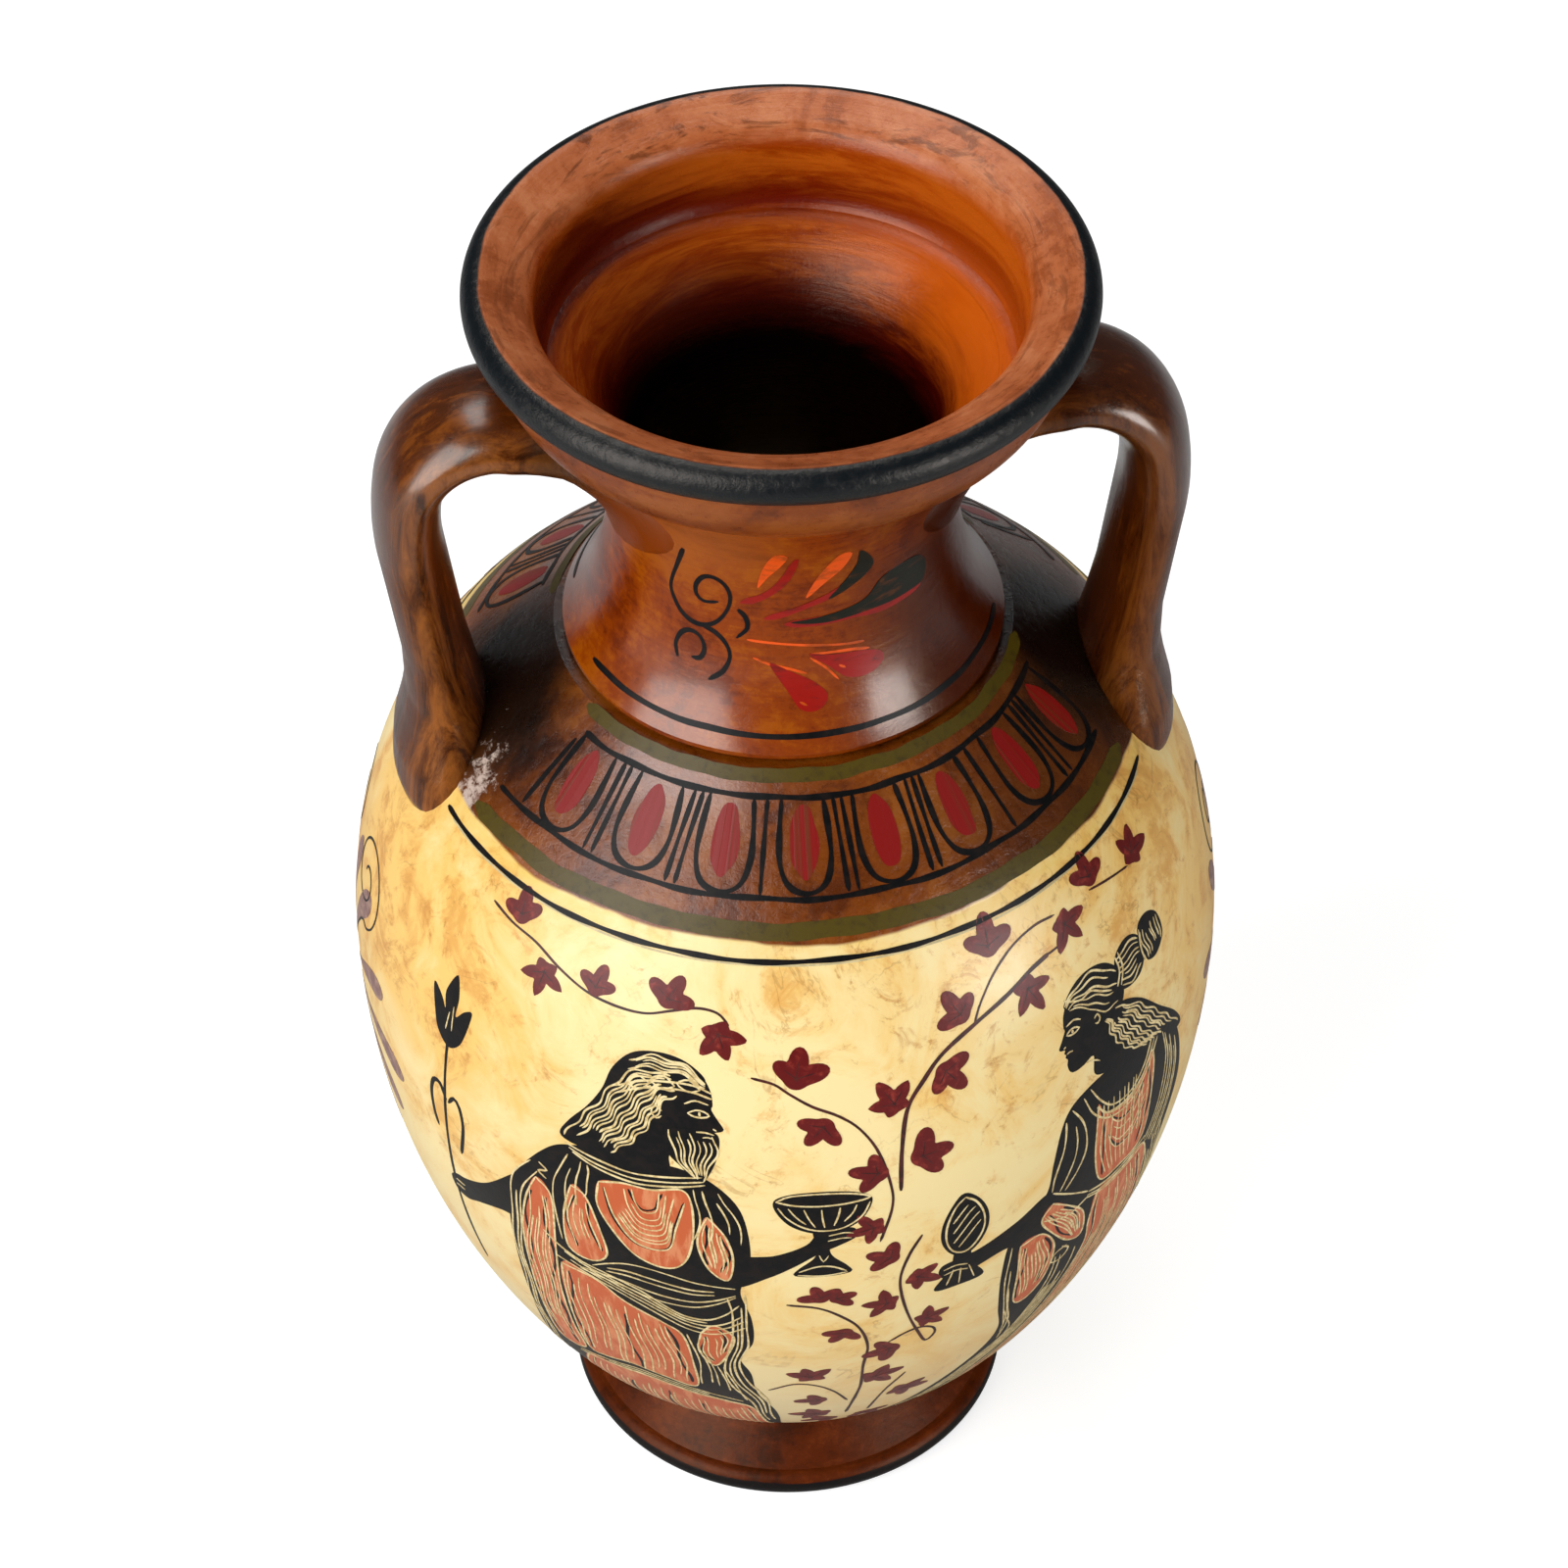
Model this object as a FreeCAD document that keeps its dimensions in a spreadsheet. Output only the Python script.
# Two-handled ceramic jar: a foot, a body thrown in two halves, a neck, a mouth and two strap
# handles, each luted to the next with a thin film of slip.
# The origin is the centre of the foot's resting face. +Z points up the jar's axis, and the
# handles lie along +X and -X. Lengths are millimetres.
import FreeCAD, Part
import math
import os
import re
import Sketcher

Vector = FreeCAD.Vector

# Driving sizes. Radii are measured from the jar's axis, a rise is measured up and a drop down
# from the piece or place that is named with it.
SIZES = {
    # Foot: a disc with a rolled edge and a coned top, turned hollow underneath
    "foot_height": 17.0,
    "foot_roll": 3.0,
    "foot_roll_radius": 43.9,
    "foot_recess_radius": 28.0,
    "foot_ring_radius": 34.0,
    "foot_recess": 6.0,
    "seat_radius": 33.0,
    "boss_radius": 24.0,
    "boss_rise": 2.0,
    # Body: rises above the foot to the flank and the widest ring, and above the widest ring to the
    # turn, the slope and the ledge that the neck stands on
    "flank_rise": 31.8,
    "widest_radius": 87.0,
    "widest_rise": 121.0,
    "turn_rise": 30.0,
    "slope_rise": 63.0,
    "ledge_rise": 79.6,
    "ledge_margin": 0.6,
    "body_wall": 5.5,
    "lap_height": 6.0,
    "slip_film": 0.15,
    "bore_margin": 0.8,
    # Neck: a waisted tube on a flange, with a spigot in the shoulder's bore. Rises above the ledge.
    "flange_radius": 42.6,
    "flange_edge": 1.2,
    "flange_lap": 3.6,
    "spigot_depth": 3.0,
    "waist_radius": 33.6,
    "waist_rise": 28.4,
    "collar_radius": 41.9,
    "neck_rise": 56.7,
    "neck_wall": 5.6,
    "throat_rise": 32.4,
    "throat_land": 5.0,
    "rim_inset": 1.9,
    "rim_edge": 0.8,
    "rim_rise": 4.6,
    # Mouth: a rounded underside, a rolled lip, and inside it a slope, a dished wall, a groove and
    # the crest round the throat. Widths outside the neck's rim, drops below the lip.
    "mouth_height": 25.7,
    "lip_overhang": 12.7,
    "lip_roll": 3.8,
    "lip_slope_width": 7.8,
    "lip_slope_drop": 3.0,
    "dish_width": 5.2,
    "dish_drop": 7.5,
    "groove_side_width": 4.5,
    "groove_side_rise": 5.0,
    "groove_width": 3.2,
    "groove_rise": 1.4,
    "crest_width": 2.2,
    # Handles: the middle line of the strap, and the strap's own width and depth. The first two
    # drops are below the collar, and the back's below the centre of the crown's bend.
    "handle_start_radius": 32.0,
    "handle_start_drop": 4.9,
    "crown_drop": 3.8,
    "crown_bend": 17.0,
    "handle_reach": 70.9,
    "back_drop": 5.7,
    "back_bend": 50.0,
    "handle_end_rise": 42.0,
    "strap_width": 27.2,
    "strap_depth": 13.0,
}

# Where the body's curves change, as shares of the way out from the seat or the flange to the
# widest ring
FLANK_SHARE = 0.5704
TURN_SHARE = 0.9099
SLOPE_SHARE = 0.4437

# The way through the wall at those places and at the seat, as shares of the wall: how far inwards
# and how far up
FLANK_WALL_SHARES = (0.8733, 0.4872)
TURN_WALL_SHARES = (0.9651, -0.2620)
SLOPE_WALL_SHARES = (0.6592, -0.7519)
SEAT_WALL_SHARES = (0.2820, 1.0000)

# Stations along the strap's middle line, as shares: how far along the line, then the width and
# depth against the strap's own, then how far the section moves outwards against the depth
STATION_SHARES = [
    (0.000, 1.25, 1.50, -0.12),
    (0.070, 1.17, 1.34, -0.08),
    (0.135, 1.06, 1.12, -0.02),
    (0.185, 1.02, 1.04, 0.00),
    (0.235, 1.01, 1.02, 0.00),
    (0.285, 1.01, 1.01, 0.00),
    (0.330, 1.00, 1.00, 0.00),
    (0.375, 1.00, 1.00, 0.00),
    (0.450, 1.00, 1.00, 0.00),
    (0.520, 0.99, 0.99, 0.00),
    (0.690, 0.99, 0.99, 0.00),
    (0.770, 1.10, 1.12, 0.02),
    (0.825, 1.27, 1.33, 0.08),
    (0.875, 1.43, 1.48, 0.19),
    (0.925, 1.48, 1.50, 0.29),
    (1.000, 1.36, 1.22, 0.35),
]

FULL_TURN = 360.0

# Heights above the table and radii from the axis, written with the sheet's names
BODY_SEAT = "foot_height"
WIDEST = "foot_height + widest_rise"
LEDGE = f"{WIDEST} + ledge_rise"
WAIST = f"{LEDGE} + waist_rise"
COLLAR = f"{LEDGE} + neck_rise"
THROAT_TOP = f"{LEDGE} + throat_rise + throat_land"
RIM_TOP = f"{COLLAR} + rim_rise"
LIP = f"{COLLAR} + mouth_height"
FLANK_RADIUS = f"seat_radius + {FLANK_SHARE} * (widest_radius - seat_radius)"
TURN_RADIUS = f"flange_radius + {TURN_SHARE} * (widest_radius - flange_radius)"
SLOPE_RADIUS = f"flange_radius + {SLOPE_SHARE} * (widest_radius - flange_radius)"
SPIGOT_RADIUS = "flange_radius - flange_lap"
THROAT_RADIUS = "waist_radius - neck_wall"
RIM_RADIUS = "collar_radius - rim_inset"
LIP_RADIUS = "collar_radius + lip_overhang"
CROWN_CENTRE = f"{COLLAR} - crown_drop - crown_bend"
BACK_CENTRE = f"{CROWN_CENTRE} - back_drop"
BACK_CENTRE_RADIUS = "handle_reach - back_bend"

doc = FreeCAD.newDocument("Amphora")
sheet = doc.addObject("Spreadsheet::Sheet", "Sizes")
for row, (name, value) in enumerate(SIZES.items(), 1):
    sheet.set(f"A{row}", name)
    sheet.set(f"B{row}", str(value))
    sheet.setAlias(f"B{row}", name)
doc.recompute()


def bound(text):
    # Turns "waist_radius + strap_depth" into an expression on the sheet
    return re.sub(r"[a-z_]+", lambda word: f"Sizes.{word[0]}", text)


def measure(text):
    return float(sheet.evalExpression(bound(text)))


def origin_plane(body, role):
    return next(item for item in body.Origin.OriginFeatures if item.Role == role)


def new_sketch(body, name, role):
    sketch = body.newObject("Sketcher::SketchObject", name)
    sketch.AttachmentSupport = (origin_plane(body, role), [""])
    sketch.MapMode = "FlatFace"
    return sketch


def bind(sketch, text, kind, *places):
    # Adds a constraint whose value is the length that the text names
    held = sketch.addConstraint(Sketcher.Constraint(kind, *places, measure(text)))
    sketch.setExpression(f"Constraints[{held}]", bound(text))


def drive(sketch, kind, edge, position, text):
    # Holds a point of an edge at the distance from the sketch's origin that the text names
    bind(sketch, text, kind, -1, 1, edge, position)


def level_centre(start, end, height):
    # The centre at a height of an arc between two points
    middle = (start + end) / 2
    chord = end - start
    return Vector(middle.x - (height - middle.y) * chord.y / chord.x, height, 0)


def upright_centre(start, end, radius):
    # The centre at a distance from the axis of an arc between two points
    middle = (start + end) / 2
    chord = end - start
    return Vector(radius, middle.y - (radius - middle.x) * chord.x / chord.y, 0)


def smooth_centre(joint, centre, end):
    # The centre of an arc that touches another at their joint and runs on to an end
    spoke = centre - joint
    chord = end - joint
    return joint + spoke * (chord.dot(chord) / (2 * chord.dot(spoke)))


def arc_between(centre, start, end):
    # The arc of under half a turn between two points, and whether it runs counter-clockwise
    forward = (start - centre).cross(end - centre).z > 0
    ends = (start, end) if forward else (end, start)
    angles = [math.atan2(point.y - centre.y, point.x - centre.x) for point in ends]
    circle = Part.Circle(centre, Vector(0, 0, 1), (start - centre).Length)
    return Part.ArcOfCircle(circle, *angles), forward


class Outline:
    # A closed half section in the XZ plane, drawn corner by corner and bound to the sheet

    def __init__(self, body, name, r, z):
        self.sketch = new_sketch(body, name, "XZ_Plane")
        self.first = (r, z)
        self.at = self.spot(r, z)
        self.tail = None
        self.centre = None

    def spot(self, r, z):
        return Vector(measure(r), measure(z), 0)

    def hold(self, kind, *places):
        self.sketch.addConstraint(Sketcher.Constraint(kind, *places))

    def add(self, shape, forward, corner, joint="Coincident"):
        # Joins an edge to the last one and pins its far end. An arc that runs clockwise is kept
        # the other way round, so its ends change places.
        edge = self.sketch.addGeometry(shape, False)
        near, far = (1, 2) if forward else (2, 1)
        if self.tail:
            self.hold(joint, *self.tail, edge, near)
        else:
            self.opening = (edge, near)
        if corner == self.first:
            self.hold("Coincident", edge, far, *self.opening)
        for kind, axis, text in (("DistanceX", -2, corner[0]), ("DistanceY", -1, corner[1])):
            if text == "0":
                self.hold("PointOnObject", edge, far, axis)
            else:
                drive(self.sketch, kind, edge, far, text)
        self.tail = (edge, far)
        self.at = self.spot(*corner)
        return edge

    def line(self, r, z):
        self.add(Part.LineSegment(self.at, self.spot(r, z)), True, (r, z))

    def draw_arc(self, centre, corner, joint="Coincident"):
        shape, forward = arc_between(centre, self.at, self.spot(*corner))
        self.centre = centre
        return self.add(shape, forward, corner, joint)

    def level_arc(self, r, z, centre_z):
        # An arc whose centre lies at the named height
        edge = self.draw_arc(level_centre(self.at, self.spot(r, z), measure(centre_z)), (r, z))
        drive(self.sketch, "DistanceY", edge, 3, centre_z)

    def upright_arc(self, r, z, centre_r):
        # An arc whose centre lies at the named radius
        edge = self.draw_arc(upright_centre(self.at, self.spot(r, z), measure(centre_r)), (r, z))
        drive(self.sketch, "DistanceX", edge, 3, centre_r)

    def smooth_arc(self, r, z):
        # An arc that leaves the one before it smoothly
        self.draw_arc(smooth_centre(self.at, self.centre, self.spot(r, z)), (r, z), "Tangent")

    def arc_pair(self, middle, end, centre_z):
        # Two arcs that meet smoothly. The second has its centre at the named height.
        joint = self.spot(*middle)
        centre = level_centre(joint, self.spot(*end), measure(centre_z))
        self.draw_arc(smooth_centre(joint, centre, self.at), middle)
        edge = self.draw_arc(centre, end, "Tangent")
        drive(self.sketch, "DistanceY", edge, 3, centre_z)

    def close(self):
        self.line(*self.first)
        return self.sketch


def new_body(name):
    return doc.addObject("PartDesign::Body", name)


def revolve(body, sketch, kind="PartDesign::Revolution"):
    feature = body.newObject(kind, f"{sketch.Name}Turned")
    feature.Profile = (sketch, [""])
    feature.ReferenceAxis = (sketch, ["V_Axis"])
    feature.Angle = FULL_TURN
    body.Tip = feature
    doc.recompute()
    return feature


def ring(body, name, inner, outer, bottom, top, kind):
    # A square-cornered ring that is added to the body or cut from it
    outline = Outline(body, name, inner, bottom)
    outline.line(outer, bottom)
    outline.line(outer, top)
    outline.line(inner, top)
    return revolve(body, outline.close(), kind)


def through_wall(r, z, wall_shares):
    # The corner one wall inside a corner of the outer face
    inward, upward = wall_shares
    return f"{r} - {inward} * body_wall", f"{z} + {upward} * body_wall"


# Stretches of the jar's outer face that more than one outline follows

def trace_shoulder(outline):
    outline.level_arc(TURN_RADIUS, f"{WIDEST} + turn_rise", WIDEST)
    outline.smooth_arc(SLOPE_RADIUS, f"{WIDEST} + slope_rise")
    outline.line("flange_radius + ledge_margin", LEDGE)


def trace_neck(outline):
    outline.line("flange_radius", f"{LEDGE} + flange_edge")
    outline.level_arc("waist_radius", WAIST, WAIST)
    outline.level_arc("collar_radius", COLLAR, WAIST)


def trace_echinus(outline):
    underside = f"{LIP} - 2 * lip_roll"
    outline.level_arc(LIP_RADIUS, underside, underside)


# Foot: the ring that it rests on is all that touches the table

def make_foot():
    body = new_body("Foot")
    outline = Outline(body, "FootSection", "0", "foot_recess")
    outline.line("foot_recess_radius", "foot_recess")
    outline.line("foot_ring_radius", "0")
    outline.line("foot_roll_radius", "0")
    outline.level_arc("foot_roll_radius + foot_roll", "foot_roll", "foot_roll")
    outline.level_arc("foot_roll_radius", "2 * foot_roll", "foot_roll")
    outline.line("seat_radius", BODY_SEAT)
    outline.line("boss_radius", BODY_SEAT)
    outline.line("boss_radius", f"{BODY_SEAT} + boss_rise")
    outline.line("0", f"{BODY_SEAT} + boss_rise")
    revolve(body, outline.close())
    return body


# Belly: the thrown lower half, with a tongue round its top edge for the shoulder's lap

def make_belly():
    body = new_body("Belly")
    inner = "widest_radius - body_wall"
    flank = (FLANK_RADIUS, f"{BODY_SEAT} + flank_rise")
    outline = Outline(body, "BellySection", "widest_radius", WIDEST)
    outline.level_arc(*flank, WIDEST)
    outline.smooth_arc("seat_radius", BODY_SEAT)
    outline.line("0", BODY_SEAT)
    outline.line("0", f"{BODY_SEAT} + body_wall")
    outline.line(*through_wall("seat_radius", BODY_SEAT, SEAT_WALL_SHARES))
    outline.arc_pair(through_wall(*flank, FLANK_WALL_SHARES), (inner, WIDEST), WIDEST)
    revolve(body, outline.close())
    middle = "widest_radius - body_wall / 2 - slip_film / 2"
    ring(body, "Tongue", inner, middle, WIDEST, f"{WIDEST} + lap_height", "PartDesign::Revolution")
    top = f"{BODY_SEAT} + boss_rise + slip_film"
    ring(body, "BossSocket", "0", "boss_radius + slip_film", BODY_SEAT, top, "PartDesign::Groove")
    return body


# Shoulder: the thrown upper half, lapped over the belly and bored for the neck

def make_shoulder():
    body = new_body("Shoulder")
    inner = "widest_radius - body_wall"
    turn = (TURN_RADIUS, f"{WIDEST} + turn_rise")
    slope = (SLOPE_RADIUS, f"{WIDEST} + slope_rise")
    outline = Outline(body, "ShoulderSection", "widest_radius", WIDEST)
    trace_shoulder(outline)
    outline.line(f"{SPIGOT_RADIUS} + slip_film", LEDGE)
    outline.line(f"{SPIGOT_RADIUS} + slip_film", f"{LEDGE} - spigot_depth - bore_margin")
    outline.line(*through_wall(*slope, SLOPE_WALL_SHARES))
    outline.arc_pair(through_wall(*turn, TURN_WALL_SHARES), (inner, WIDEST), WIDEST)
    revolve(body, outline.close())
    middle = "widest_radius - body_wall / 2 + slip_film / 2"
    top = f"{WIDEST} + lap_height + slip_film"
    ring(body, "Rebate", f"{inner} - body_wall", middle, WIDEST, top, "PartDesign::Groove")
    return body


# Neck: thrown on its own, with a spigot below the flange and a rim that stands in the mouth

def make_neck():
    body = new_body("Neck")
    outline = Outline(body, "NeckSection", "flange_radius", LEDGE)
    trace_neck(outline)
    outline.line(RIM_RADIUS, COLLAR)
    outline.line(RIM_RADIUS, RIM_TOP)
    outline.line(f"{RIM_RADIUS} - rim_edge", RIM_TOP)
    outline.level_arc(THROAT_RADIUS, THROAT_TOP, THROAT_TOP)
    outline.line(THROAT_RADIUS, f"{LEDGE} + throat_rise")
    skirt = f"{SPIGOT_RADIUS} - neck_wall"
    outline.level_arc(skirt, f"{LEDGE} - spigot_depth", f"{LEDGE} + throat_rise")
    outline.line(SPIGOT_RADIUS, f"{LEDGE} - spigot_depth")
    outline.line(SPIGOT_RADIUS, LEDGE)
    revolve(body, outline.close())
    return body


# Mouth: rounded underside, rolled lip, dished inside, and a groove outside the throat's crest

def make_mouth():
    body = new_body("Mouth")
    roll = f"{LIP} - lip_roll"
    bore_top = f"{RIM_TOP} + slip_film"
    groove_side = f"{bore_top} + groove_side_rise"
    outline = Outline(body, "MouthSection", "collar_radius", COLLAR)
    trace_echinus(outline)
    outline.level_arc(f"{LIP_RADIUS} + lip_roll", roll, roll)
    outline.level_arc(LIP_RADIUS, LIP, roll)
    outline.line(f"{RIM_RADIUS} + lip_slope_width", f"{LIP} - lip_slope_drop")
    outline.level_arc(f"{RIM_RADIUS} + dish_width", f"{LIP} - dish_drop", f"{LIP} - dish_drop")
    outline.line(f"{RIM_RADIUS} + groove_side_width", groove_side)
    outline.level_arc(f"{RIM_RADIUS} + groove_width", f"{bore_top} + groove_rise", groove_side)
    outline.upright_arc(f"{RIM_RADIUS} + slip_film", bore_top, f"{RIM_RADIUS} + crest_width")
    outline.line(f"{RIM_RADIUS} + slip_film", COLLAR)
    revolve(body, outline.close())
    return body


# Outer face of the standing jar, closed to the axis: the handles are trimmed against it

def make_jar_face():
    body = new_body("JarFace")
    outline = Outline(body, "JarFaceSection", "0", WIDEST)
    outline.line("widest_radius", WIDEST)
    trace_shoulder(outline)
    outline.line("flange_radius", LEDGE)
    trace_neck(outline)
    trace_echinus(outline)
    outline.line("0", f"{LIP} - 2 * lip_roll")
    revolve(body, outline.close())
    return body


# Handle: a pulled strap. Its middle line leaves the neck level, turns over the crown, bows
# outwards and runs down a straight leg to the shoulder, under the place where the slope begins.

def touching_point(point, centre, radius, side):
    # Where a line from a point touches a circle. Side 1 is to the left as seen from the centre.
    spoke = point - centre
    angle = math.atan2(spoke.y, spoke.x) + side * math.acos(radius / spoke.Length)
    return centre + Vector(math.cos(angle), math.sin(angle), 0) * radius


def strap_line():
    start = Vector(measure("handle_start_radius"), measure(f"{COLLAR} - handle_start_drop"), 0)
    end = Vector(measure(SLOPE_RADIUS), measure(f"{WIDEST} + handle_end_rise"), 0)
    crown_bend = measure("crown_bend")
    back_bend = measure("back_bend")
    back_centre = Vector(measure(BACK_CENTRE_RADIUS), measure(BACK_CENTRE), 0)
    # The crown's bend touches the back's from inside, so their centres lie on one line with the
    # meeting point
    across = math.sqrt((back_bend - crown_bend) ** 2 - measure("back_drop") ** 2)
    crown_centre = back_centre + Vector(across, measure("back_drop"), 0)
    meeting = back_centre + (crown_centre - back_centre).normalize() * back_bend
    crown = touching_point(start, crown_centre, crown_bend, -1)
    leaving = touching_point(end, back_centre, back_bend, 1)
    return start, crown, crown_centre, meeting, back_centre, leaving, end


def make_spine(body):
    start, crown, crown_centre, meeting, back_centre, leaving, end = strap_line()
    sketch = new_sketch(body, "StrapLine", "XZ_Plane")
    root = sketch.addGeometry(Part.LineSegment(start, crown), False)
    over = sketch.addGeometry(arc_between(crown_centre, crown, meeting)[0], False)
    back = sketch.addGeometry(arc_between(back_centre, meeting, leaving)[0], False)
    leg = sketch.addGeometry(Part.LineSegment(leaving, end), False)
    sketch.addConstraint(Sketcher.Constraint("Tangent", root, 2, over, 2))
    sketch.addConstraint(Sketcher.Constraint("Tangent", over, 1, back, 2))
    sketch.addConstraint(Sketcher.Constraint("Tangent", back, 1, leg, 1))
    drive(sketch, "DistanceX", root, 1, "handle_start_radius")
    drive(sketch, "DistanceY", root, 1, f"{COLLAR} - handle_start_drop")
    drive(sketch, "DistanceX", leg, 2, SLOPE_RADIUS)
    drive(sketch, "DistanceY", leg, 2, f"{WIDEST} + handle_end_rise")
    drive(sketch, "DistanceY", over, 3, CROWN_CENTRE)
    drive(sketch, "DistanceX", back, 3, BACK_CENTRE_RADIUS)
    drive(sketch, "DistanceY", back, 3, BACK_CENTRE)
    bind(sketch, "crown_bend", "Radius", over)
    bind(sketch, "back_bend", "Radius", back)
    doc.recompute()
    return sketch


def station(edges, share):
    # The point of the middle line at a share of its length, and the line's direction there. The
    # bends are drawn against the line's run, so they are measured from their far end.
    left = share * sum(edge.Length for edge in edges)
    for edge in edges:
        if left <= edge.Length or edge is edges[-1]:
            against = edge.Orientation == "Reversed"
            reach = min(left, edge.Length)
            place = edge.getParameterByLength(edge.Length - reach if against else reach)
            return edge.valueAt(place), edge.tangentAt(place) * (-1 if against else 1)
        left -= edge.Length


def oval_section(body, number, place, width_share, depth_share, outward_share):
    # An oval across the strap: its local Y lies along the strap's width, its X towards the jar
    sketch = new_sketch(body, f"Station{number}", "XY_Plane")
    sketch.AttachmentOffset = place
    width = f"{width_share} * strap_width"
    depth = f"{depth_share} * strap_depth"
    shift = f"-({outward_share}) * strap_depth"
    centre = Vector(measure(shift), 0, 0)
    widest = centre + Vector(0, measure(width) / 2, 0)
    deepest = centre + Vector(measure(depth) / 2, 0, 0)
    oval = sketch.addGeometry(Part.Ellipse(widest, deepest, centre), False)
    sketch.exposeInternalGeometry(oval)
    across, through = oval + 1, oval + 2
    sketch.addConstraint(Sketcher.Constraint("PointOnObject", oval, 3, -1))
    sketch.addConstraint(Sketcher.Constraint("Vertical", across))
    bind(sketch, shift, "DistanceX", -1, 1, oval, 3)
    bind(sketch, width, "Distance", across)
    bind(sketch, depth, "Distance", through)
    return sketch


def make_strap():
    body = new_body("Strap")
    spine = make_spine(body)
    edges = spine.Shape.Wires[0].OrderedEdges
    sections = []
    for number, (path_share, *section_shares) in enumerate(STATION_SHARES):
        point, ahead = station(edges, path_share)
        turn = FreeCAD.Rotation(Vector(0, 1, 0), math.degrees(math.atan2(ahead.x, ahead.z)))
        sections.append(oval_section(body, number, FreeCAD.Placement(point, turn), *section_shares))
    doc.recompute()
    strap = body.newObject("PartDesign::AdditiveLoft", "StrapLoft")
    strap.Profile = (sections[0], [""])
    strap.Sections = [(section, [""]) for section in sections[1:]]
    strap.Ruled = True
    body.Tip = strap
    doc.recompute()
    return body


def make_handles():
    right = doc.addObject("Part::Cut", "HandleRight")
    right.Base = make_strap()
    right.Tool = make_jar_face()
    left = doc.addObject("Part::Mirroring", "HandleLeft")
    left.Source = right
    left.Base = Vector(0, 0, 0)
    left.Normal = Vector(1, 0, 0)
    return right, left


right_handle, left_handle = make_handles()
pieces = {
    "foot": make_foot(),
    "belly": make_belly(),
    "shoulder": make_shoulder(),
    "neck": make_neck(),
    "mouth": make_mouth(),
    "handle_right": right_handle,
    "handle_left": left_handle,
}
doc.recompute()

for item in doc.Objects:
    if "Invalid" in item.State or "Error" in item.State:
        raise RuntimeError(f"{item.Name} did not rebuild: {item.State}")

os.makedirs("parts", exist_ok=True)
for label, piece in pieces.items():
    piece.Label = label
    shape = piece.Shape
    if shape.isNull() or not shape.isValid() or len(shape.Solids) != 1:
        raise RuntimeError(f"{label} is not one valid solid")
    shape.exportStep(f"parts/{label}.step")
    print(label, round(shape.Volume), "cubic mm")
